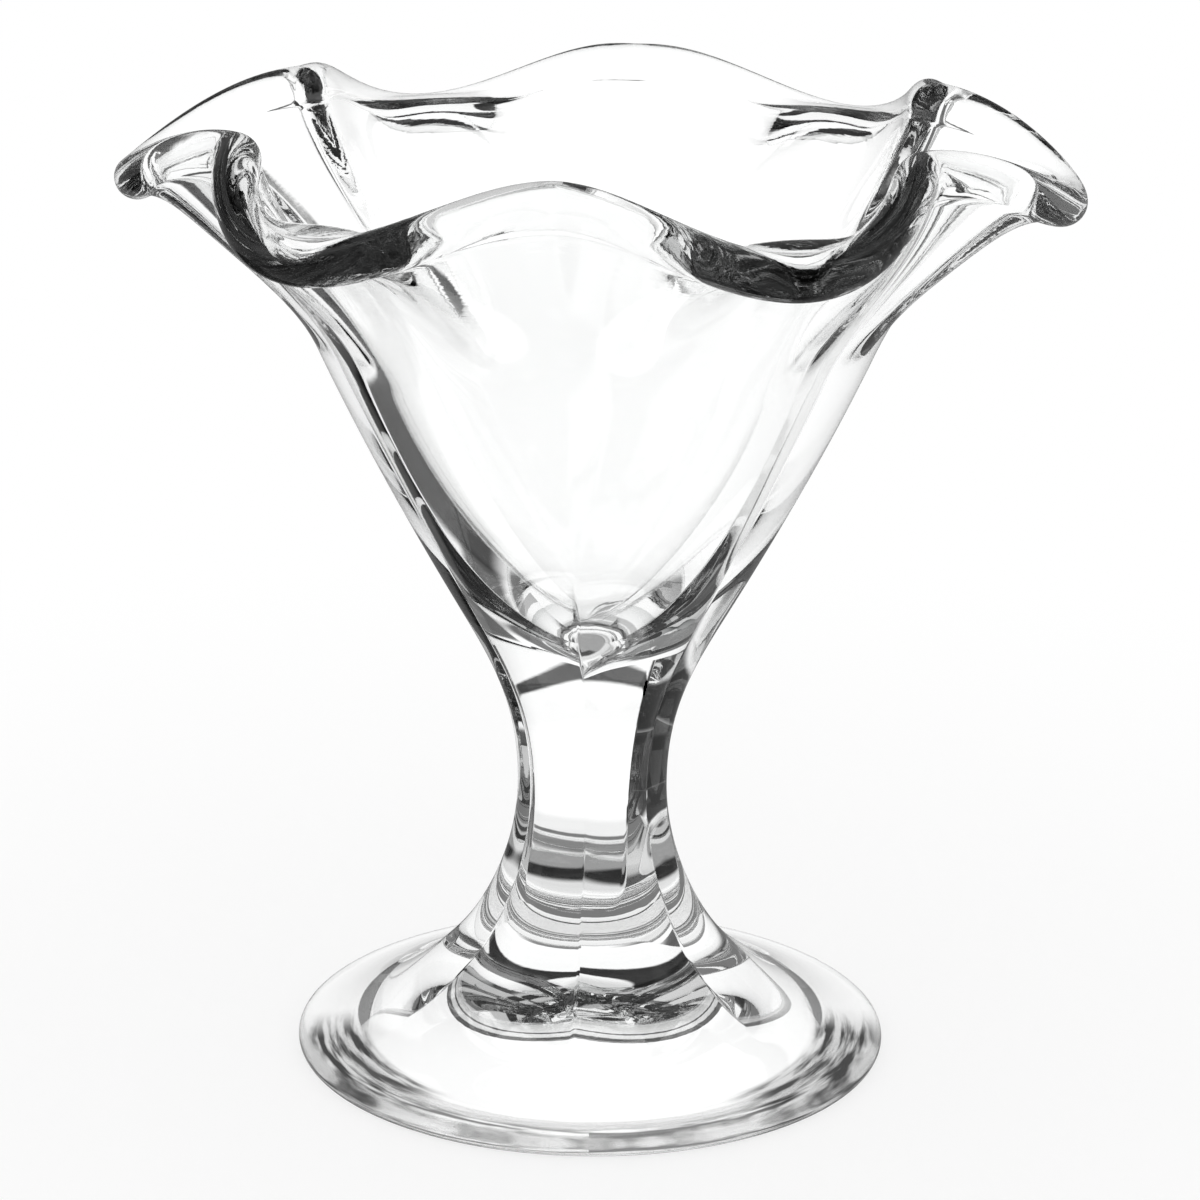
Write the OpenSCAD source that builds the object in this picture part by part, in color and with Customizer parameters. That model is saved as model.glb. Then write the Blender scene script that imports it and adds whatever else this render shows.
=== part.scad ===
// Parfait glass: a thick pressed-glass dish with a six-lobed bowl, a ruffled
// fire-polished lip, a short solid stem and a round foot with a domed hollow
// underneath. Millimetres, +Z up, origin on the axis at the resting plane.
// A ridge of a lobe points along +X. Grooves lie halfway between the ridges.
// At the lip the ridges fold outward and hang low, and the grooves end in peaks.

/* [Lip] */
// Overall width across two opposite hanging lip folds
fold_d = 125; // [112:0.5:136]
// Width across two opposite lip peaks, at the middle of the glass
peak_d = 97.4; // [90:0.2:104]
// Rise of the lip peaks above the collar, at the middle of the glass
lip_rise = 27.7; // [24:0.2:32]
// How far the hanging folds lie below the peaks
fold_drop = 7.2; // [4:0.1:10]
// Thickness of the round bead at the lip peaks
peak_t = 6.6; // [5:0.1:7.5]
// Thickness of the round bead at the folds
fold_t = 5.7; // [4.4:0.1:6.6]
// Turn of the bead from its tip back to where it meets the wall, in degrees
bead_arc = 125; // [100:1:140]
// Upward tilt of the glass where it ends in a peak, in degrees
peak_tilt = 70; // [55:1:85]
// Downward tilt of the glass where it ends in a fold, in degrees
fold_droop = 20; // [0:1:28]

/* [Bowl] */
// Width over the lobe ridges at the collar, where the lip begins to flare
collar_d = 72.4; // [66:0.2:76]
// Thickness of the wall at the collar, measured level
collar_wall = 5.1; // [4:0.1:6.5]
// Height of the bowl from its base to the collar
bowl_h = 34.6; // [30:0.2:40]
// Lean of the wall from the upright at the collar, in degrees
collar_lean = 23.7; // [18:0.1:28]
// Depth of the rounded cavity floor below the base of the bowl
floor_drop = 5.6; // [3:0.1:7]
// How far the rounding of the cavity floor reaches out from the axis
floor_r = 4; // [3:0.1:10]
// Depth of the small pit in the middle of the cavity floor
pit_h = 1.8; // [0.5:0.1:3]
// Radius of that pit
pit_r = 1.8; // [1.2:0.1:3]

/* [Stem] */
// Width over the lobe ridges at the base of the bowl
base_d = 37; // [33:0.2:42]
// Lean of the wall from the upright at the base of the bowl, in degrees
base_lean = 29.7; // [24:0.1:34]
// Height from the waist of the stem up to the base of the bowl
throat_h = 25.4; // [21:0.2:30]
// Width over the lobe ridges at the waist of the stem
waist_d = 20; // [17:0.2:23]
// Height from the top of the foot's neck up to the waist
ankle_h = 21.5; // [18:0.2:26]

/* [Foot] */
// Width over the lobe ridges where the neck runs out into the foot
neck_d = 35.2; // [31:0.2:39]
// Height of that place above the resting plane
neck_h = 15.5; // [13:0.1:18]
// Lean of the neck from the upright there, in degrees
neck_lean = 40.4; // [34:0.1:46]
// Diameter of the round foot
foot_d = 79.4; // [74:0.2:86]
// Thickness of the foot at its edge
edge_t = 2.5; // [2:0.1:3.2]
// Height of the widest line of the edge
edge_h = 1.2; // [0.8:0.1:1.6]
// How far the rounding of the edge runs in along the top
top_round = 2.1; // [1.4:0.1:3]
// How far the rounding of the edge runs in underneath
under_round = 1.1; // [0.6:0.1:1.6]
// Width of the flat ring that the glass stands on
ring_w = 7.6; // [5:0.2:10]
// Depth of the domed hollow under the foot
hollow_h = 9.5; // [6:0.1:10.5]

/* [Lobes] */
// Number of lobes round the glass
lobes = 6; // [5:1:8]
// Depth of the grooves at the neck, as a share of the radius
neck_groove_share = 0.11; // [0.06:0.01:0.14]
// Depth of the grooves at the waist, as a share of the radius
waist_groove_share = 0.11; // [0.06:0.01:0.14]
// Depth of the grooves at the base of the bowl, as a share of the radius
base_groove_share = 0.08; // [0.04:0.01:0.12]
// Depth of the grooves at the collar, as a share of the radius
collar_groove_share = 0.03; // [0.02:0.005:0.07]
// Depth of the soft grooves inside the bowl, as a share of the radius
inner_groove_share = 0.03; // [0.01:0.005:0.05]

/* [Smoothness] */
// Steps round one lobe, an even number that puts points on ridges and grooves
lobe_steps = 14; // [8:2:16]

/* [Hidden] */
glass = [0.88, 0.94, 0.95, 0.5];

// Steps along each stretch of the profile
short_steps = 4;
flare_steps = 9;
bowl_steps = 8;
cavity_steps = 12;
round_steps = 4;
edge_steps = 8;

// Powers that shape the wave from groove to ridge: a sharp groove on the body, a
// softer one inside, and at the lip a fold that spreads early, hangs late and tilts last
body_power = 1;
inner_power = 1.5;
spread_power = 1.45;
hang_power = 2.4;
tilt_power = 4;
bead_power = 2;

// Lengths of the curve handles, as shares of the stretch that they steer
waist_handle_share = 0.44;
lean_handle_share = 0.32;
ankle_handle_share = 0.18;
bowl_handle_share = 0.33;
foot_handle_share = 0.3;
neck_handle_share = 0.35;
lip_handle_share = 0.33;
side_handle_share = 0.75;
// Where the two fused joints cut the stretches below and above the waist
low_joint_share = 0.45;
high_joint_share = 0.5;
// How fast the grooves fade from the neck to the smooth top of the foot
fade_power = 1.6;

// Heights stacked from the resting plane
waist_h = neck_h + ankle_h;
base_h = waist_h + throat_h;
collar_h = base_h + bowl_h;
floor_h = base_h - floor_drop;
peak_h = collar_h + lip_rise;
fold_h = peak_h - fold_drop;
fold_r = (fold_d - fold_t) / 2;
peak_r = peak_d / 2;

// Corners of the ridge profile, as [radius, height]
shoulder = [foot_d / 2 - top_round, edge_t];
neck = [neck_d / 2, neck_h];
waist = [waist_d / 2, waist_h];
base = [base_d / 2, base_h];
collar = [collar_d / 2, collar_h];
inner_collar = [collar_d / 2 - collar_wall, collar_h];
floor_point = [0, floor_h];

// Step outward for each step up, at each lean
neck_rise = [-tan(neck_lean), 1];
base_rise = [tan(base_lean), 1];
collar_rise = [tan(collar_lean), 1];

// The flat ring and the sphere that hollows the foot
ring_r = foot_d / 2 - under_round - ring_w;
hollow_r = (ring_r * ring_r + hollow_h * hollow_h) / (2 * hollow_h);

steps_round = lobes * lobe_steps;

// A cubic curve from a to d that is steered by b and c
function curve(a, b, c, d, t) =
    pow(1 - t, 3) * a + 3 * pow(1 - t, 2) * t * b + 3 * (1 - t) * t * t * c + t * t * t * d;

// A value between a and b
function blend(a, b, t) = a + (b - a) * t;

// The wave round the glass: 0 in a groove, 1 on a ridge
function wave(turn, power) = pow(abs(cos(lobes / 2 * turn)), power);

// Stretches of the ridge profile from the bottom up
function foot_top(t) =
    let (run = shoulder[0] - neck[0])
    curve(shoulder, shoulder - [run * foot_handle_share, 0],
        neck - neck_rise * neck_h * neck_handle_share, neck, t);
function ankle(t) =
    curve(neck, neck + neck_rise * ankle_h * ankle_handle_share,
        waist - [0, ankle_h * waist_handle_share], waist, t);
function throat(t) =
    curve(waist, waist + [0, throat_h * waist_handle_share],
        base - base_rise * throat_h * lean_handle_share, base, t);
function bowl_side(t) =
    curve(base, base + base_rise * bowl_h * bowl_handle_share,
        collar - collar_rise * bowl_h * bowl_handle_share, collar, t);
// The cavity has a bell-shaped pit on the axis
function cavity(t) =
    let (p = curve(inner_collar, inner_collar - collar_rise * (collar_h - floor_h) * side_handle_share,
        floor_point + [floor_r, 0], floor_point, t))
    p - [0, pit_h * exp(-pow(p[0] / pit_r, 2))];

// The middle of the lip at a turn, the way the glass points there and half its thickness
function lip_middle(turn) =
    [blend(peak_r, fold_r, wave(turn, spread_power)), blend(peak_h, fold_h, wave(turn, hang_power))];
function lip_way(turn) =
    let (tilt = blend(peak_tilt, -fold_droop, wave(turn, tilt_power)))
    [cos(tilt), sin(tilt)];
function lip_half(turn) = blend(peak_t, fold_t, wave(turn, bead_power)) / 2;

// The round bead of the lip: an arc about its middle from the underside (0) to the upper side (1)
function lip_edge(turn, t) =
    let (way = lip_way(turn), angle = blend(-bead_arc, bead_arc, t))
    lip_middle(turn) + lip_half(turn) * (cos(angle) * way + sin(angle) * [-way[1], way[0]]);

// The flare from the collar to the bead, on the outer side (-1) or the inner side (+1)
function lip_flare(turn, t, side) =
    let (start = side < 0 ? lobed(collar, collar_groove_share, turn, body_power)
            : lobed(inner_collar, inner_groove_share, turn, inner_power),
        end = lip_edge(turn, side < 0 ? 0 : 1),
        reach = norm(end - start) * lip_handle_share)
    curve(start, start + collar_rise / norm(collar_rise) * reach, end - lip_way(turn) * reach, end, t);

// The round edge of the foot from underneath (0) to the shoulder (1)
function foot_edge(t) =
    let (angle = blend(-90, 90, t), run = angle < 0 ? under_round : top_round,
        rise = angle < 0 ? edge_h : edge_t - edge_h)
    [foot_d / 2 - run * (1 - cos(angle)), edge_h + rise * sin(angle)];

// A profile point drawn in towards the grooves
function lobed(point, share, turn, power) =
    [point[0] * (1 - share * (1 - wave(turn, power))), point[1]];

// One ring of points round the axis: at gives [radius, height] for a turn
function ring(at) =
    [for (i = [0:steps_round - 1])
        let (turn = i * 360 / steps_round, p = at(turn))
        [p[0] * cos(turn), p[0] * sin(turn), p[1]]];
function lobed_ring(point, share, power = body_power) =
    ring(function (turn) lobed(point, share, turn, power));

// Rings of the body between two places of a stretch, with the last one left off
function ankle_rings(from, to) =
    [for (i = [0:short_steps - 1])
        let (t = blend(from, to, i / short_steps))
        lobed_ring(ankle(t), blend(neck_groove_share, waist_groove_share, t))];
function throat_rings(from, to) =
    [for (i = [0:short_steps - 1])
        let (t = blend(from, to, i / short_steps))
        lobed_ring(throat(t), blend(waist_groove_share, base_groove_share, t))];
low_joint = lobed_ring(ankle(low_joint_share),
    blend(neck_groove_share, waist_groove_share, low_joint_share));
high_joint = lobed_ring(throat(high_joint_share),
    blend(waist_groove_share, base_groove_share, high_joint_share));

// A closed solid skinned over rings, with both end rings closed by a fan on the axis
module skin(rings) {
    n = steps_round;
    last = len(rings) - 1;
    first_middle = (last + 1) * n;
    low_middle = [0, 0, rings[0][0][2]];
    high_middle = [0, 0, rings[last][0][2]];
    points = concat([for (r = rings) for (p = r) p], [low_middle, high_middle]);
    sides = [for (k = [0:last - 1]) for (i = [0:n - 1])
        let (j = (i + 1) % n, a = k * n + i, b = k * n + j, c = a + n, d = b + n)
        each [[a, c, d], [a, d, b]]];
    bottom = [for (i = [0:n - 1]) [first_middle, i, (i + 1) % n]];
    top = [for (i = [0:n - 1]) [first_middle + 1, last * n + (i + 1) % n, last * n + i]];
    polyhedron(points, concat(sides, bottom, top), convexity = 6);
}

// Thick six-lobed cone, from the upper joint out over the lip and down the cavity
module bowl() {
    outside = [for (i = [0:bowl_steps - 1])
        let (t = i / bowl_steps)
        lobed_ring(bowl_side(t), blend(base_groove_share, collar_groove_share, t))];
    flare = [for (i = [0:flare_steps - 1])
        ring(function (turn) lip_flare(turn, i / flare_steps, -1))];
    edge = [for (i = [0:edge_steps - 1])
        ring(function (turn) lip_edge(turn, i / edge_steps))];
    inside_flare = [for (i = [0:flare_steps - 1])
        ring(function (turn) lip_flare(turn, 1 - i / flare_steps, 1))];
    inside = [for (i = [0:cavity_steps - 1])
        lobed_ring(cavity(i / cavity_steps), inner_groove_share, inner_power)];
    color(glass)
        skin(concat(throat_rings(high_joint_share, 1), outside, flare, edge, inside_flare, inside));
}

// Short solid stem between the two fused joints
module stem() {
    color(glass)
        skin(concat(ankle_rings(low_joint_share, 1), throat_rings(0, high_joint_share), [high_joint]));
}

// Round foot with its lobed neck, hollowed underneath by a shallow dome
module foot() {
    edge = [for (i = [0:2 * round_steps - 1])
        lobed_ring(foot_edge(i / (2 * round_steps)), 0)];
    top = [for (i = [0:flare_steps - 1])
        let (t = i / flare_steps)
        lobed_ring(foot_top(t), neck_groove_share * pow(t, fade_power))];
    color(glass)
        difference() {
            skin(concat(edge, top, ankle_rings(0, low_joint_share), [low_joint]));
            translate([0, 0, hollow_h - hollow_r])
                sphere(hollow_r, $fn = steps_round);
        }
}

bowl();
stem();
foot();
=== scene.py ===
"""Looks of a parfait glass: a thick pressed-glass dessert dish with a six-lobed bowl, a ruffled
fire-polished lip, a short solid stem and a round foot, on a plain white studio sweep.

A point of the profile is one complex number, radius + 1j * height, so a curve, a tilt or a step
along the glass is plain arithmetic. A surface is a grid of such points: rows run along the profile
and columns run round the axis.
"""

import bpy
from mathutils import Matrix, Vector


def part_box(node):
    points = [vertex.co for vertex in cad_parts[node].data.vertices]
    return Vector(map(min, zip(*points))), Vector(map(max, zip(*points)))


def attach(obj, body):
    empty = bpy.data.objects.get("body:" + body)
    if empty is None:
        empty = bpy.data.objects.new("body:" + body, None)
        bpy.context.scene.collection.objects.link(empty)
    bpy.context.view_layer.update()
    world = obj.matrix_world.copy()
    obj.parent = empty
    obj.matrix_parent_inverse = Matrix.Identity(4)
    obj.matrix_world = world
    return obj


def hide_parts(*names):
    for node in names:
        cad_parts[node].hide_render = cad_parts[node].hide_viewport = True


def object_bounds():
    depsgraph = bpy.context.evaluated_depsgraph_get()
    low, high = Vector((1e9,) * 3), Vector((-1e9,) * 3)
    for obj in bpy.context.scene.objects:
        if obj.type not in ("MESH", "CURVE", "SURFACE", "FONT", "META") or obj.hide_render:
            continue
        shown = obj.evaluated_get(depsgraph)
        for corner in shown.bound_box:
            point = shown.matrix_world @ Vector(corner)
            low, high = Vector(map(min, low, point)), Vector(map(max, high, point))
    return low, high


bl_info = {
    "name": "Parfait Glass",
    "version": (1, 0, 0),
    "blender": (4, 5, 0),
    "location": "View3D > Sidebar > Parfait Glass",
    "description": "Builds a ruffled pressed-glass parfait dish and the studio sweep that it stands on",
    "category": "Add Mesh",
}

import math
from typing import NamedTuple

import bpy
import numpy as np
from bpy.props import FloatProperty, FloatVectorProperty, PointerProperty
from mathutils import Matrix, Vector

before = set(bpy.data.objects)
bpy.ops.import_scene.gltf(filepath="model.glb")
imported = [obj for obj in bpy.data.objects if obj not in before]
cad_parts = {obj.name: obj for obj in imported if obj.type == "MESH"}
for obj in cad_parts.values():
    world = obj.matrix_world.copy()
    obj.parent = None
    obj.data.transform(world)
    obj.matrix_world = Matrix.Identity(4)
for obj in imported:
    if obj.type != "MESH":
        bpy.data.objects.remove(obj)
CAD_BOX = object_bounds()
FOOT_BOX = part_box("foot")

MM = 0.001
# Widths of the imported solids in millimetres
FOLD_D = (CAD_BOX[1].x - CAD_BOX[0].x) / MM
FOOT_D = (FOOT_BOX[1].x - FOOT_BOX[0].x) / MM
LOBES = 6
LOBE_STEPS = 60
TURNS = LOBES * LOBE_STEPS

# Powers that shape the wave from groove to ridge: a sharp groove on the body, a softer one inside, and
# at the lip a fold that spreads early, hangs late and tilts last
BODY_POWER = 1
INNER_POWER = 1.5
SPREAD_POWER = 1.45
HANG_POWER = 2.4
TILT_POWER = 4
BEAD_POWER = 2
# How fast the grooves fade from the neck to the smooth top of the foot
FADE_POWER = 1.6

# Lengths of the curve handles, as shares of the stretch that they steer
WAIST_HANDLE_SHARE = 0.44
LEAN_HANDLE_SHARE = 0.32
ANKLE_HANDLE_SHARE = 0.18
BOWL_HANDLE_SHARE = 0.33
FOOT_HANDLE_SHARE = 0.3
NECK_HANDLE_SHARE = 0.35
LIP_HANDLE_SHARE = 0.33
SIDE_HANDLE_SHARE = 0.75

# Where the two fused joints cut the stretches below and above the waist
LOW_JOINT_SHARE = 0.45
HIGH_JOINT_SHARE = 0.5
# Where the first ring of points lies in the hollow under the foot
CROWN_SHARE = 0.02

# Rows of points along each stretch of the profile
THROAT_ROWS = 14
SIDE_ROWS = 36
FLARE_ROWS = 40
BEAD_ROWS = 28
CAVITY_ROWS = 90
STEM_ROWS = 20
HOLLOW_ROWS = 40
RING_ROWS = 6
EDGE_ROWS = 20
TOP_ROWS = 60
NECK_ROWS = 16

# Edges sharper than this stay crisp
CRISP_ANGLE = math.radians(60)


def length(name, description, millimetres):
    """A size in metres, with its default given in millimetres."""
    return FloatProperty(name=name, description=description, default=millimetres * MM,
                         min=0, unit="LENGTH", precision=5)


def angle(name, description, degrees):
    """An angle in radians, with its default given in degrees."""
    return FloatProperty(name=name, description=description, default=math.radians(degrees), subtype="ANGLE")


def share(name, description, value):
    """A plain share from 0 to 1."""
    return FloatProperty(name=name, description=description, default=value, min=0, max=1, subtype="FACTOR")


def colour(name, description, value):
    """A colour of red, green and blue."""
    return FloatVectorProperty(name=name, description=description, default=value, size=3,
                               min=0, max=1, subtype="COLOR")


class ParfaitSizes(bpy.types.PropertyGroup):
    """Sizes of the glass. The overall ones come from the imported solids."""

    fold_d: length("Fold width", "Width across two opposite hanging lip folds", FOLD_D)
    peak_d: length("Peak width", "Width across two opposite lip peaks, at the middle of the glass", 97.4)
    lip_rise: length("Lip rise", "Rise of the lip peaks above the collar, at the middle of the glass", 27.7)
    fold_drop: length("Fold drop", "How far the hanging folds lie below the peaks", 7.2)
    fold_uneven: share("Fold unevenness", "How much less the front folds hang, and the back ones more", 0.1)
    peak_t: length("Peak thickness", "Thickness of the round bead at the lip peaks", 6.6)
    fold_t: length("Fold thickness", "Thickness of the round bead at the folds", 5.7)
    bead_arc: angle("Bead arc", "Turn of the round bead from its tip back to where it meets the wall", 125)
    peak_tilt: angle("Peak tilt", "Upward tilt of the glass where it ends in a peak", 70)
    fold_droop: angle("Fold droop", "Downward tilt of the glass where it ends in a fold", 20)
    collar_d: length("Collar width", "Width over the lobe ridges where the lip begins to flare", 72.4)
    collar_wall: length("Collar wall", "Thickness of the wall at the collar", 5.1)
    collar_lean: angle("Collar lean", "Lean of the wall from the upright at the collar", 23.7)
    bowl_h: length("Bowl height", "Height of the bowl from its base to the collar", 34.6)
    floor_drop: length("Floor drop", "Depth of the cavity floor below the base of the bowl", 5.6)
    floor_r: length("Floor rounding", "How far the rounding of the cavity floor reaches from the axis", 4)
    pit_h: length("Pit depth", "Depth of the small pit in the middle of the cavity floor", 1.8)
    pit_r: length("Pit radius", "Radius of that pit", 1.8)
    base_d: length("Base width", "Width over the lobe ridges at the base of the bowl", 37)
    base_lean: angle("Base lean", "Lean of the wall from the upright at the base of the bowl", 29.7)
    throat_h: length("Throat height", "Height from the waist up to the base of the bowl", 25.4)
    waist_d: length("Waist width", "Width over the lobe ridges at the waist of the stem", 20)
    ankle_h: length("Ankle height", "Height from the top of the neck up to the waist", 21.5)
    neck_d: length("Neck width", "Width over the lobe ridges where the neck runs into the foot", 35.2)
    neck_h: length("Neck height", "Height of that place above the table", 15.5)
    neck_lean: angle("Neck lean", "Lean of the neck from the upright there", 40.4)
    foot_d: length("Foot width", "Diameter of the round foot", FOOT_D)
    edge_t: length("Edge thickness", "Thickness of the foot at its edge", 2.5)
    edge_h: length("Edge height", "Height of the widest line of the edge", 1.2)
    top_round: length("Top rounding", "How far the rounding of the edge runs in along the top", 2.1)
    under_round: length("Under rounding", "How far the rounding of the edge runs in underneath", 1.1)
    ring_w: length("Ring width", "Width of the flat ring that the glass stands on", 7.6)
    hollow_h: length("Hollow depth", "Depth of the domed hollow under the foot", 9.5)
    neck_groove: share("Neck grooves", "Depth of the grooves at the neck, as a share of the radius", 0.11)
    waist_groove: share("Waist grooves", "Depth of the grooves at the waist, as a share of the radius", 0.11)
    base_groove: share("Base grooves", "Depth of the grooves at the base of the bowl, as a share", 0.08)
    collar_groove: share("Collar grooves", "Depth of the grooves at the collar, as a share", 0.03)
    inner_groove: share("Inner grooves", "Depth of the soft grooves inside the bowl, as a share", 0.03)


class ParfaitFinish(bpy.types.PropertyGroup):
    """Finish of the glass."""

    tint: colour("Tint", "Colour that the glass gives to what is seen through it", (0.985, 0.99, 0.988))
    ior: FloatProperty(name="Refraction", description="Index of refraction of the glass",
                       default=1.5, min=1, max=2)
    depth_tint: colour("Depth tint", "Colour of light that has gone far in the glass", (0.35, 0.37, 0.365))
    density: FloatProperty(name="Density", description="Strength of that colour for each metre of glass",
                           default=2, min=0)


class ParfaitStage(bpy.types.PropertyGroup):
    """Camera and light."""

    azimuth: angle("Azimuth", "Turn of the camera round the glass", 5.87)
    elevation: angle("Elevation", "Height of the camera above the horizon", 17.32)
    roll: angle("Roll", "Tilt of the camera about its own axis", 0.5)
    distance: length("Distance", "Distance of the camera from the point that it looks at", 529.02)
    aim_h: length("Aim height", "Height of the point that the camera looks at", 62.2)
    aim_side: length("Aim side", "How far that point lies to the right of the axis", 0.83)
    lens: FloatProperty(name="Lens", description="Focal length of the lens in millimetres",
                        default=120.1, min=10)


def curve(a, b, c, d, t):
    """Cubic curve from a to d steered by b and c: the four points weighed by the powers of t and 1 - t."""
    u = 1 - t
    return u ** 3 * a + 3 * u * u * t * b + 3 * u * t * t * c + t ** 3 * d


def blend(a, b, t):
    """Value between a and b."""
    return a + (b - a) * t


def steps(first, last, count):
    """Column of count values from first towards last, with the last one left off."""
    return np.linspace(first, last, count, endpoint=False)[:, None]


class Profile:
    """The glass as a function of a place along its profile and a turn round its axis."""

    def __init__(self, s):
        self.sizes = s
        waist_h = s.neck_h + s.ankle_h
        base_h = waist_h + s.throat_h
        collar_h = base_h + s.bowl_h
        self.floor_h = base_h - s.floor_drop
        self.shoulder = complex(s.foot_d / 2 - s.top_round, s.edge_t)
        self.neck = complex(s.neck_d / 2, s.neck_h)
        self.waist = complex(s.waist_d / 2, waist_h)
        self.base = complex(s.base_d / 2, base_h)
        self.collar = complex(s.collar_d / 2, collar_h)
        self.inner_collar = self.collar - s.collar_wall
        self.neck_rise = complex(-math.tan(s.neck_lean), 1)
        self.base_rise = complex(math.tan(s.base_lean), 1)
        self.collar_rise = complex(math.tan(s.collar_lean), 1)
        self.turn = np.arange(TURNS)[None, :] * (2 * math.pi / TURNS)

    def wave(self, power):
        """Wave round the glass, |cos| of half the lobe angle to a power: 0 in a groove and 1 on a ridge."""
        return np.abs(np.cos(LOBES / 2 * self.turn)) ** power

    def lobed(self, point, groove, power=BODY_POWER):
        """Profile points drawn in towards the grooves by a share of their radius."""
        return point.real * (1 - groove * (1 - self.wave(power))) + 1j * point.imag

    def foot_top(self, t):
        """Top of the foot from the shoulder to the neck, with grooves that fade in towards the neck."""
        s = self.sizes
        run = self.shoulder.real - self.neck.real
        line = curve(self.shoulder, self.shoulder - run * FOOT_HANDLE_SHARE,
                     self.neck - self.neck_rise * s.neck_h * NECK_HANDLE_SHARE, self.neck, t)
        return self.lobed(line, s.neck_groove * t ** FADE_POWER)

    def ankle(self, t):
        """Stem from the neck up to the waist."""
        s = self.sizes
        line = curve(self.neck, self.neck + self.neck_rise * s.ankle_h * ANKLE_HANDLE_SHARE,
                     self.waist - 1j * s.ankle_h * WAIST_HANDLE_SHARE, self.waist, t)
        return self.lobed(line, blend(s.neck_groove, s.waist_groove, t))

    def throat(self, t):
        """Stem and bowl from the waist up to the base of the bowl."""
        s = self.sizes
        line = curve(self.waist, self.waist + 1j * s.throat_h * WAIST_HANDLE_SHARE,
                     self.base - self.base_rise * s.throat_h * LEAN_HANDLE_SHARE, self.base, t)
        return self.lobed(line, blend(s.waist_groove, s.base_groove, t))

    def bowl_side(self, t):
        """Outside of the bowl from its base to the collar."""
        s = self.sizes
        line = curve(self.base, self.base + self.base_rise * s.bowl_h * BOWL_HANDLE_SHARE,
                     self.collar - self.collar_rise * s.bowl_h * BOWL_HANDLE_SHARE, self.collar, t)
        return self.lobed(line, blend(s.base_groove, s.collar_groove, t))

    def cavity(self, t):
        """Inside of the bowl from the collar down to the rounded floor, with a small pit on the axis."""
        s = self.sizes
        deep = self.collar.imag - self.floor_h
        floor = 1j * self.floor_h
        line = curve(self.inner_collar, self.inner_collar - self.collar_rise * deep * SIDE_HANDLE_SHARE,
                     floor + s.floor_r, floor, t)
        pit = s.pit_h * np.exp(-(line.real / s.pit_r) ** 2)
        return self.lobed(line, s.inner_groove, INNER_POWER) - 1j * pit

    def lip(self):
        """Middle of the lip at each turn, the way that the glass points there and half its thickness."""
        s = self.sizes
        radius = blend(s.peak_d, s.fold_d - s.fold_t, self.wave(SPREAD_POWER)) / 2
        drop = s.fold_drop * (1 + s.fold_uneven * np.sin(self.turn))
        height = self.collar.imag + s.lip_rise - drop * self.wave(HANG_POWER)
        way = np.exp(1j * blend(s.peak_tilt, -s.fold_droop, self.wave(TILT_POWER)))
        return radius + 1j * height, way, blend(s.peak_t, s.fold_t, self.wave(BEAD_POWER)) / 2

    def lip_flare(self, t, side):
        """Flare from the collar to the lip, on the outer side (-1) or the inner side (+1)."""
        s = self.sizes
        if side < 0:
            start = self.lobed(self.collar, s.collar_groove)
        else:
            start = self.lobed(self.inner_collar, s.inner_groove, INNER_POWER)
        middle, way, half = self.lip()
        end = middle + half * way * np.exp(1j * side * s.bead_arc)
        reach = np.abs(end - start) * LIP_HANDLE_SHARE
        rise = self.collar_rise / abs(self.collar_rise)
        return curve(start, start + rise * reach, end - way * reach, end, t)

    def lip_edge(self, t):
        """Round bead of the lip: an arc about its middle, from below (0) over the tip to the top (1)."""
        middle, way, half = self.lip()
        return middle + half * way * np.exp(1j * self.sizes.bead_arc * (2 * t - 1))

    def foot_edge(self, t):
        """Round edge of the foot: two quarter ovals, from underneath (0) to the shoulder (1)."""
        s = self.sizes
        turned = math.pi * (t - 0.5)
        run = np.where(t < 0.5, s.under_round, s.top_round)
        rise = np.where(t < 0.5, s.edge_h, s.edge_t - s.edge_h)
        line = s.foot_d / 2 - run * (1 - np.cos(turned)) + 1j * (s.edge_h + rise * np.sin(turned))
        return self.lobed(line, 0)

    def underside(self, t):
        """Underside of the foot: a shallow ball hollow out to the flat ring."""
        s = self.sizes
        ring_r = s.foot_d / 2 - s.under_round - s.ring_w
        ball_r = (ring_r ** 2 + s.hollow_h ** 2) / (2 * s.hollow_h)
        radius = ring_r * t
        return self.lobed(radius + 1j * (s.hollow_h - ball_r + np.sqrt(ball_r ** 2 - radius ** 2)), 0)

    def ring_flat(self, t):
        """Flat ring that the glass stands on, from the hollow out to the edge."""
        s = self.sizes
        ring_r = s.foot_d / 2 - s.under_round - s.ring_w
        return self.lobed(ring_r + s.ring_w * t + 0j, 0)


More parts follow.
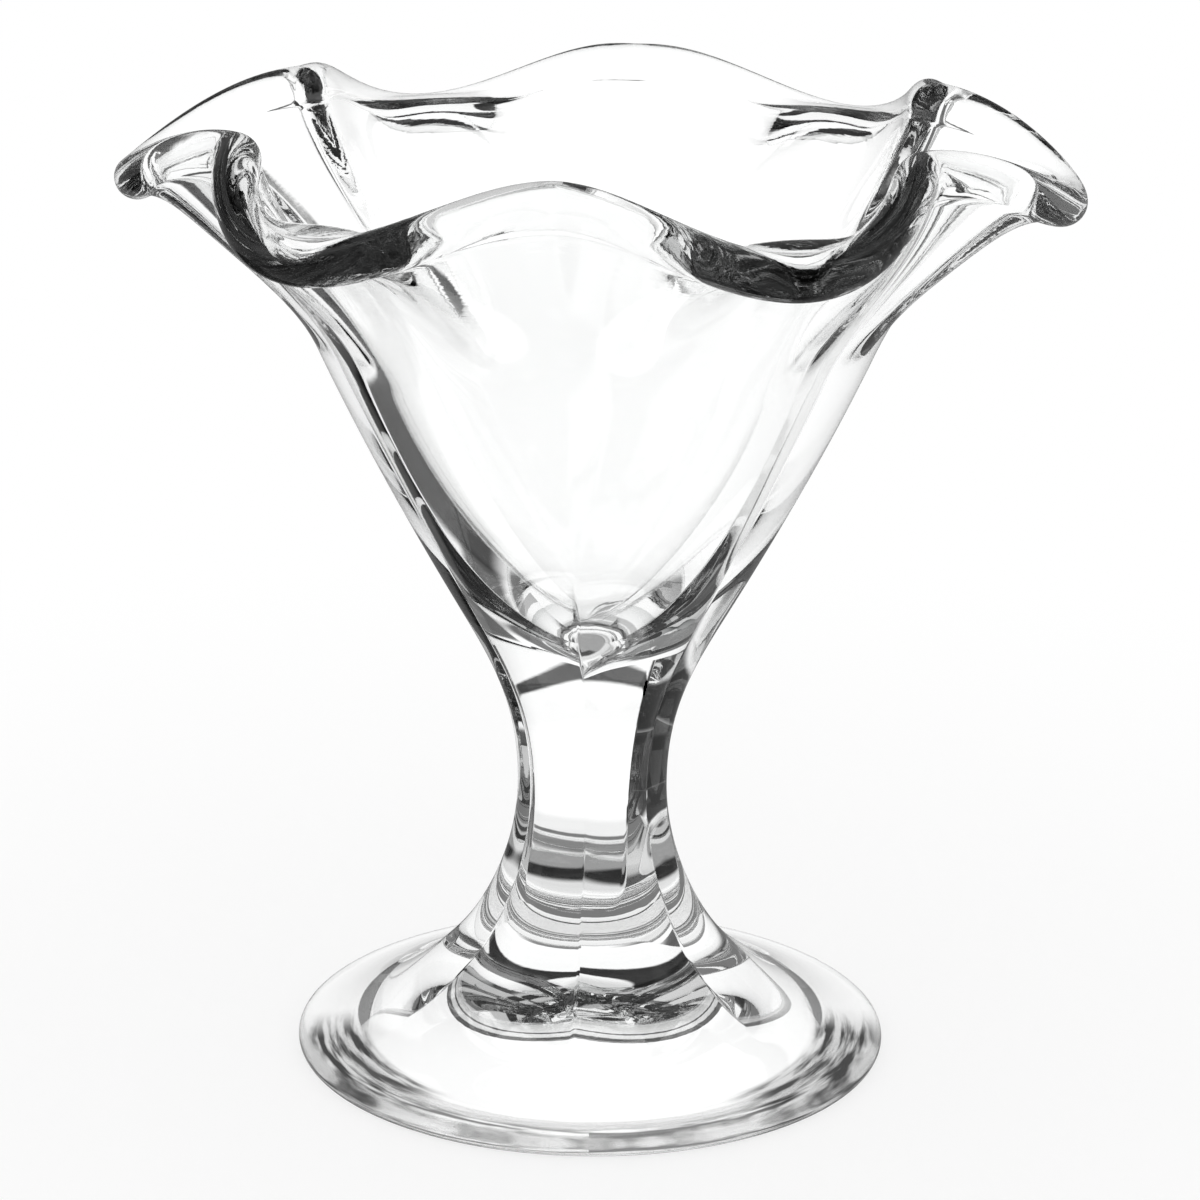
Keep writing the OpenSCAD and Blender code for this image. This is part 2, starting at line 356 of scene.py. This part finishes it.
def turned_mesh(name, rows, materials, low_joint, high_joint):
    """Closed mesh over a grid of profile points. Both ends close in a fan on the axis, and an end
    that is a fused joint takes the second material."""
    count, columns = rows.shape
    turn = np.arange(columns) * (2 * math.pi / columns)
    points = np.stack([rows.real * np.cos(turn), rows.real * np.sin(turn), rows.imag], -1).reshape(-1, 3)
    ends = np.array([[0, 0, rows[0, 0].imag], [0, 0, rows[-1, 0].imag]])
    points = np.concatenate([points, ends])
    here = np.arange(columns)
    after = (here + 1) % columns
    row = np.arange(count - 1)[:, None] * columns
    above = row + columns
    last = (count - 1) * columns
    quads = np.stack([row + here, row + after, above + after, above + here], -1).reshape(-1, 4)
    low = np.stack([np.full(columns, count * columns), after, here], -1)
    high = np.stack([np.full(columns, count * columns + 1), last + here, last + after], -1)
    mesh = bpy.data.meshes.new(name)
    sizes = np.concatenate([np.full(len(quads), 4), np.full(2 * columns, 3)])
    loops = np.concatenate([quads.ravel(), low.ravel(), high.ravel()])
    mesh.vertices.add(len(points))
    mesh.vertices.foreach_set("co", points.ravel())
    mesh.loops.add(len(loops))
    mesh.loops.foreach_set("vertex_index", loops)
    mesh.polygons.add(len(sizes))
    mesh.polygons.foreach_set("loop_start", np.concatenate([[0], np.cumsum(sizes)[:-1]]))
    mesh.polygons.foreach_set("use_smooth", np.ones(len(sizes), bool))
    marks = np.zeros(len(sizes), np.int32)
    marks[len(quads):len(quads) + columns] = int(low_joint)
    marks[len(quads) + columns:] = int(high_joint)
    for material in materials:
        mesh.materials.append(material)
    mesh.polygons.foreach_set("material_index", marks)
    mesh.update(calc_edges=True)
    mesh.validate()
    mesh.set_sharp_from_angle(angle=CRISP_ANGLE)
    piece = bpy.data.objects.new(name, mesh)
    bpy.context.scene.collection.objects.link(piece)
    return piece


class Wire:
    """One socket of a node tree. Arithmetic on it adds Math nodes, and add() makes any other node."""

    def __init__(self, tree, socket=None):
        self.tree, self.socket = tree, socket

    def add(self, kind, settings=None, sockets=None, out=0):
        """New node of a kind: its settings are set first, then the values or links of its sockets."""
        node = self.tree.nodes.new(kind)
        for key, value in (settings or {}).items():
            if key == "stops":
                ramp = node.color_ramp.elements
                while len(ramp) < len(value):
                    ramp.new(0.5)
                for stop, (place, shade) in zip(ramp, value):
                    stop.position, stop.color = place, shade
            else:
                setattr(node, key, value)
        for key, value in (sockets or {}).items():
            if isinstance(value, Wire):
                self.tree.links.new(value.socket, node.inputs[key])
            else:
                node.inputs[key].default_value = value
        return Wire(self.tree, node.outputs[out]) if len(node.outputs) else None

    def math(self, operation, *values):
        """Math node on values or wires."""
        return self.add("ShaderNodeMath", {"operation": operation}, dict(enumerate(values)))

    def __add__(self, other):
        return self.math("ADD", self, other)

    def __radd__(self, other):
        return self.math("ADD", other, self)

    def __sub__(self, other):
        return self.math("SUBTRACT", self, other)

    def __rsub__(self, other):
        return self.math("SUBTRACT", other, self)

    def __mul__(self, other):
        return self.math("MULTIPLY", self, other)

    def __rmul__(self, other):
        return self.math("MULTIPLY", other, self)

    def __truediv__(self, other):
        return self.math("DIVIDE", self, other)

    def __rtruediv__(self, other):
        return self.math("DIVIDE", other, self)

    def rise(self, low, high):
        """Smooth step from 0 at low to 1 at high."""
        return self.add("ShaderNodeMapRange", {"interpolation_type": "SMOOTHSTEP"},
                        {"Value": self, "From Min": low, "From Max": high})


def new_tree(owner):
    """Empty node tree of a material or world, as a wire with no socket."""
    owner.use_nodes = True
    owner.node_tree.nodes.clear()
    return Wire(owner.node_tree)


def bearing(tree, x, y, azimuth):
    """Turn in degrees from straight behind the glass, seen from the camera: negative to the left."""
    across = x * math.cos(azimuth) + y * math.sin(azimuth)
    ahead = y * math.cos(azimuth) - x * math.sin(azimuth)
    return tree.math("DEGREES", tree.math("ARCTAN2", across, ahead))


def window(value, low, high, soft):
    """1 between low and high and 0 outside, with soft edges."""
    return value.rise(low - soft, low + soft) * (1 - value.rise(high - soft, high + soft))


# Bounces inside the glass that count as often, those that dim the light, and by how much
OFTEN_BOUNCES = (1, 3)
DIM_BOUNCES = (5, 14)
DIM_DEPTH = 0.6


def lit(tree, plain, through, mirror):
    """One value for plain rays, three for rays that come through glass, by how often they bounced in it
    (never, once or more often), and one for rays that glass mirrors. Many bounces dim the light."""
    clear, once, often = through
    inside = tree.add("ShaderNodeLightPath", out="Is Transmission Ray")
    bounces = tree.add("ShaderNodeLightPath", out="Glossy Depth")
    outside = tree.add("ShaderNodeLightPath", out="Is Glossy Ray") * (1 - inside)
    seen = blend(blend(clear, once, bounces.rise(0, 1)), often, bounces.rise(*OFTEN_BOUNCES))
    seen = seen * (1 - DIM_DEPTH * bounces.rise(*DIM_BOUNCES))
    return plain + inside * (seen - plain) + outside * (mirror - plain)


# Uneven skin: noise in bands that run round the glass, with scales round it and for each metre along it
FLOW_ROUND = 3
FLOW_ALONG = 350
# Square metres that keep a radius on the axis from being zero
AXIS_GUARD = 1e-8
# Height of the ripples, their strength, what is left of them below the lip, and where the lip begins
RIPPLE_H = 0.1 * MM
RIPPLE_STRENGTH = 0.08
BODY_RIPPLE = 0.12
LIP_RIPPLE_H = (104 * MM, 116 * MM)
SKIN_ROUGHNESS = 0.004
FLOW_ROUGHNESS = 0.012
# Noise values at which the skin takes the tint and at which it is nearly colourless
TINT_STOP = 0.35
CLEAR_STOP = 0.65
CLEAR_TINT = (0.995, 0.997, 0.996, 1)


def glass_material(finish):
    """Clear pressed glass with a slightly uneven fire-polished skin."""
    material = bpy.data.materials.new("pressed_glass")
    tree = new_tree(material)
    place = tree.add("ShaderNodeTexCoord", out="Object")
    x, y, z = (tree.add("ShaderNodeSeparateXYZ", sockets={"Vector": place}, out=axis) for axis in "XYZ")
    radius = tree.math("SQRT", x * x + y * y + AXIS_GUARD)
    ring = tree.add("ShaderNodeCombineXYZ", sockets={
        "X": x / radius * FLOW_ROUND, "Y": y / radius * FLOW_ROUND, "Z": z * FLOW_ALONG})
    flow = tree.add("ShaderNodeTexNoise", {"noise_dimensions": "4D"}, {
        "Vector": ring, "W": radius * FLOW_ALONG, "Detail": 1.0})
    stops = [(TINT_STOP, (*finish.tint, 1)), (CLEAR_STOP, CLEAR_TINT)]
    tone = tree.add("ShaderNodeValToRGB", {"stops": stops}, {"Fac": flow})
    height = flow * (BODY_RIPPLE + (1 - BODY_RIPPLE) * z.rise(*LIP_RIPPLE_H))
    bump = tree.add("ShaderNodeBump", sockets={
        "Strength": RIPPLE_STRENGTH, "Distance": RIPPLE_H, "Height": height})
    shader = tree.add("ShaderNodeBsdfPrincipled", sockets={
        "Base Color": tone, "Roughness": SKIN_ROUGHNESS + FLOW_ROUGHNESS * flow, "IOR": finish.ior,
        "Transmission Weight": 1.0, "Normal": bump})
    depth = tree.add("ShaderNodeVolumeAbsorption", sockets={
        "Color": (*finish.depth_tint, 1), "Density": finish.density})
    tree.add("ShaderNodeOutputMaterial", sockets={"Surface": shader, "Volume": depth})
    return material


def joint_material():
    """Inside of a fused joint: nothing shows where glass runs on into glass."""
    material = bpy.data.materials.new("fused_joint")
    tree = new_tree(material)
    shader = tree.add("ShaderNodeBsdfPrincipled", sockets={"Alpha": 0.0})
    tree.add("ShaderNodeOutputMaterial", sockets={"Surface": shader})
    return material


def glass_slots():
    """Both materials of a glass piece, made once."""
    glass = bpy.data.materials.get("pressed_glass") or glass_material(bpy.context.scene.parfait_finish)
    joint = bpy.data.materials.get("fused_joint") or joint_material()
    return glass, joint


def seat(piece, node):
    """Sets a piece in the frame in place of its CAD node."""
    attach(piece, "root")
    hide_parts(node)


class PARFAIT_OT_bowl(bpy.types.Operator):
    """Thick six-lobed bowl from the upper joint out over the ruffled lip and down the cavity"""

    bl_idname = "parfait.bowl"
    bl_label = "Bowl"

    def execute(self, context):
        profile = Profile(context.scene.parfait_sizes)
        rows = np.concatenate([
            profile.throat(steps(HIGH_JOINT_SHARE, 1, THROAT_ROWS)),
            profile.bowl_side(steps(0, 1, SIDE_ROWS)),
            profile.lip_flare(steps(0, 1, FLARE_ROWS), -1),
            profile.lip_edge(steps(0, 1, BEAD_ROWS)),
            profile.lip_flare(steps(1, 0, FLARE_ROWS), 1),
            profile.cavity(steps(0, 1, CAVITY_ROWS))])
        seat(turned_mesh("glass_bowl", rows, glass_slots(), True, False), "bowl")
        return {"FINISHED"}


class PARFAIT_OT_stem(bpy.types.Operator):
    """Short solid six-lobed stem between the two fused joints"""

    bl_idname = "parfait.stem"
    bl_label = "Stem"

    def execute(self, context):
        profile = Profile(context.scene.parfait_sizes)
        rows = np.concatenate([
            profile.ankle(steps(LOW_JOINT_SHARE, 1, STEM_ROWS)),
            profile.throat(steps(0, HIGH_JOINT_SHARE, STEM_ROWS)),
            profile.throat(np.array([[HIGH_JOINT_SHARE]]))])
        seat(turned_mesh("glass_stem", rows, glass_slots(), True, True), "stem")
        return {"FINISHED"}


class PARFAIT_OT_foot(bpy.types.Operator):
    """Round foot with its lobed neck, its round edge and the domed hollow underneath"""

    bl_idname = "parfait.foot"
    bl_label = "Foot"

    def execute(self, context):
        profile = Profile(context.scene.parfait_sizes)
        rows = np.concatenate([
            profile.underside(steps(CROWN_SHARE, 1, HOLLOW_ROWS)),
            profile.ring_flat(steps(0, 1, RING_ROWS)),
            profile.foot_edge(steps(0, 1, EDGE_ROWS)),
            profile.foot_top(steps(0, 1, TOP_ROWS)),
            profile.ankle(steps(0, LOW_JOINT_SHARE, NECK_ROWS)),
            profile.ankle(np.array([[LOW_JOINT_SHARE]]))])
        rows[0] = rows[0].real + 1j * profile.sizes.hollow_h
        seat(turned_mesh("glass_foot", rows, glass_slots(), False, True), "foot")
        return {"FINISHED"}


class Area(NamedTuple):
    """Area with soft edges that the glass sees round it.

    Turn is a bearing in degrees from straight behind the glass, negative to the left. Reach is an elevation
    in degrees in the sky, or a distance from the axis in millimetres on the floor. Both give a low end, a
    high end and half the width of the soft edge. Depth is the light that the area takes away or gives.
    """

    turn: tuple
    reach: tuple
    depth: float


# End of an area that no bearing or reach comes to
FAR = 10000
# Areas of the sky and of the floor
SKY_CARD = Area((-58, -22, 4), (-2, 26, 3), 1.1)
SKY_GAP = Area((-26, 34, 5), (11.5, 16, 0.6), 1.05)
SKY_SIDES = Area((108, 146, 6), (-FAR, 16, 4), 0.92)
LEFT_BOX = Area((-114, -84, 6), (4, 60, 6), 0.42)
RIGHT_BOX = Area((76, 104, 8), (4, 60, 6), 0.24)
FLOOR_CARD = Area((-60, -24, 2), (44, FAR, 2), 0.97)
FLOOR_CARD_NEAR = Area((-24, -15, 2), (42, 75, 3), 0.97)
FLOOR_FLAG = Area((-84, -46, 4), (45, 300, 8), 0.93)
FLOOR_PATCH = Area((-50, 4, 5), (44, 74, 4), 0.85)
# Painted contact shadow of the foot on the floor: under its rim at the left and right, and a ring at the
# front
LEFT_RIM_SHADOW = Area((-138, -92, 8), (30, 38.5, 0.8), 1)
RIGHT_RIM_SHADOW = Area((88, 140, 8), (30, 38.5, 0.8), 1)
FRONT_RING_SHADOW = Area((127.5, FAR, 7.5), (34, FAR, 0.5), 0.75)

# Sky: its light, the flag at the left, a dark bar that rises and falls round the glass, the dim top, and
# the bright backdrop and left strip that rays see after many bounces
SKY_LIGHT = 1.12
SKY_FLAG_TURN = (-62, -31, 5)
BAR_UP = (35.5, 50, 1.2)
BAR_SWAY = 14
BAR_DEPTH = 0.97
TOP_UP = (50, 60)
TOP_DEPTH = 0.3
SKY_DEEP_TURN = (-34, 42, 8)
STRIP_TURN = (-112, -72, 8)
STRIP_LIGHT = 0.35
DEEP_DARK = 0.04
DEEP_LIGHT = 1.08

# Rays that glass mirrors: what is left of the sky and of the floor, besides the two soft boxes
MIRROR_DARK = 0.03
MIRROR_SKY = 0.1
MIRROR_FLOOR = 0.2

# Floor: bearings that count as behind, as the back and as the front, and the edge of the foot
BEHIND_SIDE = (20, 30)
BACK_SIDE = (50, 65)
FRONT_SIDE = (105, 125)
FOOT_EDGE = (37.5, 39.5)
# Glass surfaces that a ray has crossed: two in one member of the glass, more in several members
CROSSINGS = (2, 3)
# Where a ray that left the stem starts, and square millimetres that allow for its slant
STEM_START = (-1, 14, 1.5)
STEM_SLANT = 700
# Stretch of the floor where the card is broken
CARD_BREAK = (95, 240, 10)
# Painted contact shadow under the rim of the foot: streaks of it that run round the foot, and how much it
# and the streaks darken the rim
SHADOW_STREAKS_OUT = 0.8
SHADOW_STREAKS_ROUND = 0.05
SHADOW_STREAKS_EDGE = (0.4, 0.6)
RIM_SHADOW_DEPTH = 0.3
SHADOW_STREAKS_DEPTH = 0.65
# Light under and beyond the foot for rays that never bounced, with painted shadow of the glass: shade under
# the back of the foot, a thin shadow line and a soft shadow beyond its edge
UNDER_LIGHT = 1.1
SHADE_REACH = (22, 28)
SHADE_DEPTH = 0.85
FLOOR_LIGHT = 1.15
SHADOW_LINE_REACH = (43, 46, 0.7)
SHADOW_LINE_DEPTH = 0.8
SOFT_SHADOW_REACH = (38, 60, 4)
SOFT_SHADOW_DEPTH = 0.15
# The same for rays that bounced once: painted shade under the foot, where the light rises in two steps from
# the hollow to the resting ring and is darker at the back, and a fainter painted shadow line
HOLLOW_LIGHT = 0.37
STEP_REACH = (15.5, 18)
STEP_LIGHT = 0.45
RING_REACH = (26, 31)
RING_LIGHT = 0.25
CORE_REACH = (8.5, 15.5, 1)
CORE_DEPTH = 0.93
MEMBERS_DEPTH = 0.75
FRONT_DEPTH = 0.5
FAINT_SHADOW_LINE_DEPTH = 0.5
# The same for rays that bounced more often
DEEP_UNDER_LIGHT = 0.3
DEEP_BACK_LIGHT = 0.8
FLOOR_DEEP_TURN = (-45, 55, 8)


def cover(turn, reach, area):
    """Depth of an area where a bearing and a reach lie in it, and 0 outside."""
    return area.depth * window(turn, *area.turn) * window(reach, *area.reach)


def floor_light(tree, turn, away):
    """Light of the floor for rays that came through the glass, by how often they bounced in it. Each is
    one light under the foot and another beyond its edge, times what its dark areas leave. Most of these
    are painted shadow of the foot: shade under it, contact shadow under its rim, and a thin line and a
    soft shadow beyond its edge."""
    side = tree.math("ABSOLUTE", turn)
    behind = 1 - side.rise(*BEHIND_SIDE)
    back = 1 - side.rise(*BACK_SIDE)
    outer = away.rise(*FOOT_EDGE)
    members = tree.add("ShaderNodeLightPath", out="Transmission Depth").rise(*CROSSINGS)
    start = away - tree.add("ShaderNodeLightPath", out="Ray Length") / MM
    stem = window(start + STEM_SLANT / away, *STEM_START) * (1 - members)
    card = cover(turn, away, FLOOR_CARD) + cover(turn, away, FLOOR_CARD_NEAR)
    card = card * stem * (1 - window(away, *CARD_BREAK))
    # Painted contact shadow under the rim of the foot, at the sides and at the front, broken into streaks
    # that run round the foot
    sweep = tree.add("ShaderNodeCombineXYZ", sockets={"X": SHADOW_STREAKS_OUT * away, "Y": SHADOW_STREAKS_ROUND * turn})
    noise = tree.add("ShaderNodeTexNoise", sockets={"Vector": sweep, "Scale": 1.0, "Detail": 3.0})
    shadow_streaks = noise.rise(*SHADOW_STREAKS_EDGE)
    rim_shadow = cover(turn, away, LEFT_RIM_SHADOW) + cover(turn, away, RIGHT_RIM_SHADOW)
    ring = cover(side, away, FRONT_RING_SHADOW) * shadow_streaks
    # Painted shadow of the foot beyond its edge: a thin line and a soft shadow, behind the glass
    line = behind * window(away, *SHADOW_LINE_REACH)
    soft_shadow = behind * window(away, *SOFT_SHADOW_REACH)
    # Painted shade under the back of the foot
    under = UNDER_LIGHT - SHADE_DEPTH * members * behind * away.rise(*SHADE_REACH)
    under = under * (1 - rim_shadow * (RIM_SHADOW_DEPTH + SHADOW_STREAKS_DEPTH * shadow_streaks)) * (1 - ring)
    beyond = FLOOR_LIGHT * (1 - SHADOW_LINE_DEPTH * line) * (1 - SOFT_SHADOW_DEPTH * soft_shadow) * (1 - card)
    clear = blend(under, beyond, outer)
    # Painted shade under the foot: light in two steps out to the resting ring, darker at the back
    under = HOLLOW_LIGHT + STEP_LIGHT * away.rise(*STEP_REACH) + RING_LIGHT * away.rise(*RING_REACH)
    under = under * (1 - CORE_DEPTH * back * window(away, *CORE_REACH))
    under = under * (1 - MEMBERS_DEPTH * members * back)
    beyond = (FLOOR_LIGHT - FRONT_DEPTH * side.rise(*FRONT_SIDE)) * (1 - cover(turn, away, FLOOR_FLAG))
    beyond = beyond * (1 - cover(turn, away, FLOOR_PATCH)) * (1 - FAINT_SHADOW_LINE_DEPTH * line)
    once = blend(under, beyond, outer)
    under = DEEP_UNDER_LIGHT + DEEP_BACK_LIGHT * back
    beyond = DEEP_DARK + DEEP_LIGHT * window(turn, *FLOOR_DEEP_TURN)
    often = blend(under, beyond, outer)
    return clear, once, often


# Camera film width in millimetres, and the nearest and farthest that it sees in metres
FILM_W = 36
CLIP_RANGE = (0.01, 20)
# Most bounces of a ray, enough for it to leave thick glass
RAY_BOUNCES = 20
# Floor disc in metres, and its paint
FLOOR_R = 2.5
FLOOR_SIDES = 64
FLOOR_PAINT = (0.9, 0.9, 0.9, 1)
# Where the glow over its shade grows to full, in millimetres from the axis, and its share nearer in
GLOW_REACH = (60, 240)
GLOW_NEAR = 0.7
# Colour of every light
WHITE = (1, 1, 1, 1)
# Dark card behind the stem: bearings in degrees, place, height, glow, and millimetres up to which it is seen
CARD_TURN = (-66, -20)
CARD_POINTS = 12
CARD_R = 60 * MM
CARD_LOW_H = 12 * MM
CARD_HIGH_H = 42 * MM
CARD_GLOW = 0.02
CARD_SEEN_REACH = (66, 72)


class PARFAIT_OT_stage(bpy.types.Operator):
    """White sweep, soft light, a dark card and the camera"""

    bl_idname = "parfait.stage"
    bl_label = "Stage"

    def execute(self, context):
        scene = context.scene
        stage = scene.parfait_stage
        scene.view_settings.view_transform = "Standard"
        self.camera(scene, stage)
        self.world(scene, stage)
        self.floor(scene, stage)
        self.card(scene, stage)
        for kind in ("max", "transmission", "glossy", "transparent_max"):
            setattr(scene.cycles, kind + "_bounces", RAY_BOUNCES)
        return {"FINISHED"}

    def camera(self, scene, stage):
        """Camera at its azimuth, elevation and distance from the point that it looks at."""
        level = math.cos(stage.elevation)
        right = Vector((math.cos(stage.azimuth), math.sin(stage.azimuth), 0))
        back = Vector((right.y * level, -right.x * level, math.sin(stage.elevation)))
        up = back.cross(right)
        place = Vector((0, 0, stage.aim_h)) + right * stage.aim_side + back * stage.distance
        across = right * math.cos(stage.roll) + up * math.sin(stage.roll)
        turned = Matrix((across, back.cross(across), back)).transposed().to_4x4()
        data = bpy.data.cameras.new("camera")
        data.lens, data.sensor_width, data.sensor_fit = stage.lens, FILM_W, "HORIZONTAL"
        data.clip_start, data.clip_end = CLIP_RANGE
        camera = bpy.data.objects.new("camera", data)
        camera.matrix_world = Matrix.Translation(place) @ turned
        scene.collection.objects.link(camera)
        scene.camera = camera

    def world(self, scene, stage):
        """White for plain rays. Rays that came through the glass see a white sky with dark areas: a card
        and a gap if they never bounced in it, a flag, a bar and the low sides if they bounced once. After
        more bounces only a backdrop and a strip are bright. Rays that glass mirrors see two soft boxes."""
        world = bpy.data.worlds.new("studio")
        scene.world = world
        tree = new_tree(world)
        way = tree.add("ShaderNodeTexCoord", out="Generated")
        x, y, z = (tree.add("ShaderNodeSeparateXYZ", sockets={"Vector": way}, out=axis) for axis in "XYZ")
        turn = bearing(tree, x, y, stage.azimuth)
        up = tree.math("DEGREES", tree.math("ARCSINE", z))
        clear = SKY_LIGHT - cover(turn, up, SKY_CARD) - cover(turn, up, SKY_GAP)
        sway = BAR_SWAY * tree.math("SINE", tree.math("RADIANS", turn))
        once = (SKY_LIGHT - window(turn, *SKY_FLAG_TURN)) * (1 - BAR_DEPTH * window(up + sway, *BAR_UP))
        once = once * (1 - TOP_DEPTH * up.rise(*TOP_UP))
        once = once * (1 - cover(tree.math("ABSOLUTE", turn), up, SKY_SIDES))
        often = DEEP_DARK + DEEP_LIGHT * window(turn, *SKY_DEEP_TURN)
        often = often + STRIP_LIGHT * window(turn, *STRIP_TURN)
        boxes = cover(turn, up, LEFT_BOX) + cover(turn, up, RIGHT_BOX)
        strength = lit(tree, 1, (clear, once, often), MIRROR_DARK + MIRROR_SKY * once + boxes)
        shader = tree.add("ShaderNodeBackground", sockets={"Color": WHITE, "Strength": strength})
        tree.add("ShaderNodeOutputWorld", sockets={"Surface": shader})

    def floor(self, scene, stage):
        """Round white floor that keeps the shadow of the glass. Rays through the glass see floor_light on
        it, with painted shadow of the foot, and rays that glass mirrors see a faint floor."""
        mesh = bpy.data.meshes.new("floor")
        turn = np.linspace(0, 2 * math.pi, FLOOR_SIDES, endpoint=False)
        edge = np.stack([FLOOR_R * np.cos(turn), FLOOR_R * np.sin(turn), 0 * turn], -1)
        mesh.from_pydata(edge.tolist(), [], [list(range(FLOOR_SIDES))])
        floor = bpy.data.objects.new("floor", mesh)
        scene.collection.objects.link(floor)
        material = bpy.data.materials.new("white_sweep")
        mesh.materials.append(material)
        tree = new_tree(material)
        place = tree.add("ShaderNodeTexCoord", out="Object")
        x, y = (tree.add("ShaderNodeSeparateXYZ", sockets={"Vector": place}, out=axis) for axis in "XY")
        turn = bearing(tree, x, y, stage.azimuth)
        away = tree.math("SQRT", x * x + y * y) / MM
        clear, once, often = floor_light(tree, turn, away)
        through = tree.add("ShaderNodeLightPath", out="Is Transmission Ray")
        mirrored = tree.add("ShaderNodeLightPath", out="Is Glossy Ray")
        diffuse = tree.add("ShaderNodeBsdfDiffuse", sockets={"Color": FLOOR_PAINT})
        glow = tree.add("ShaderNodeEmission", sockets={"Color": WHITE, "Strength": 1.0})
        glowing = GLOW_NEAR + (1 - GLOW_NEAR) * away.rise(*GLOW_REACH)
        plain = tree.add("ShaderNodeMixShader", sockets={0: glowing, 1: diffuse, 2: glow})
        strength = lit(tree, 1, (clear, once, often), MIRROR_FLOOR * once)
        seen = tree.add("ShaderNodeEmission", sockets={"Color": WHITE, "Strength": strength})
        by_glass = tree.math("MAXIMUM", through, mirrored)
        shader = tree.add("ShaderNodeMixShader", sockets={0: by_glass, 1: plain, 2: seen})
        tree.add("ShaderNodeOutputMaterial", sockets={"Surface": shader})

    def card(self, scene, stage):
        """Small dark card, an upright strip bent round the axis behind the stem at the left. Only rays that
        went straight through one member of the glass, and left it close by, see the card."""
        mesh = bpy.data.meshes.new("dark_card")
        turn = np.radians(np.linspace(*CARD_TURN, CARD_POINTS))
        right = np.array((math.cos(stage.azimuth), math.sin(stage.azimuth), 0))
        ahead = np.array((-math.sin(stage.azimuth), math.cos(stage.azimuth), 0))
        line = CARD_R * (np.sin(turn)[:, None] * right + np.cos(turn)[:, None] * ahead)
        points = np.concatenate([line + (0, 0, CARD_LOW_H), line + (0, 0, CARD_HIGH_H)])
        low = np.arange(CARD_POINTS - 1)
        faces = np.stack([low, low + 1, low + CARD_POINTS + 1, low + CARD_POINTS], -1)
        mesh.from_pydata(points.tolist(), [], faces.tolist())
        card = bpy.data.objects.new("dark_card", mesh)
        scene.collection.objects.link(card)
        for rays in ("camera", "diffuse", "glossy", "shadow", "volume_scatter"):
            setattr(card, "visible_" + rays, False)
        material = bpy.data.materials.new("dark_card")
        mesh.materials.append(material)
        tree = new_tree(material)
        bounces = tree.add("ShaderNodeLightPath", out="Glossy Depth")
        members = tree.add("ShaderNodeLightPath", out="Transmission Depth").rise(*CROSSINGS)
        reach = tree.add("ShaderNodeLightPath", out="Ray Length") / MM
        seen = (1 - bounces.rise(0, 1)) * (1 - members) * (1 - reach.rise(*CARD_SEEN_REACH))
        clear = tree.add("ShaderNodeBsdfTransparent")
        dark = tree.add("ShaderNodeEmission", sockets={"Color": WHITE, "Strength": CARD_GLOW})
        shader = tree.add("ShaderNodeMixShader", sockets={0: seen, 1: clear, 2: dark})
        tree.add("ShaderNodeOutputMaterial", sockets={"Surface": shader})


class PARFAIT_PT_panel(bpy.types.Panel):
    """Panel that lists the pieces, their sizes and the stage"""

    bl_idname = "PARFAIT_PT_panel"
    bl_label = "Parfait Glass"
    bl_space_type = "VIEW_3D"
    bl_region_type = "UI"
    bl_category = "Parfait Glass"

    def draw(self, context):
        for operator in OPERATORS:
            self.layout.operator(operator.bl_idname)
        for group in (getattr(context.scene, name) for name in GROUPS):
            box = self.layout.box()
            for name in group.__annotations__:
                box.prop(group, name)


OPERATORS = (PARFAIT_OT_bowl, PARFAIT_OT_stem, PARFAIT_OT_foot, PARFAIT_OT_stage)
GROUPS = {"parfait_sizes": ParfaitSizes, "parfait_finish": ParfaitFinish, "parfait_stage": ParfaitStage}
CLASSES = (*GROUPS.values(), *OPERATORS, PARFAIT_PT_panel)


def register():
    for cls in CLASSES:
        bpy.utils.register_class(cls)
    for name, group in GROUPS.items():
        setattr(bpy.types.Scene, name, PointerProperty(type=group))


def unregister():
    for name in GROUPS:
        delattr(bpy.types.Scene, name)
    for cls in reversed(CLASSES):
        bpy.utils.unregister_class(cls)


def main():
    """Registers the add-on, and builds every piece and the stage."""
    register()
    bpy.ops.parfait.bowl()
    bpy.ops.parfait.stem()
    bpy.ops.parfait.foot()
    bpy.ops.parfait.stage()


if __name__ == "__main__":
    main()
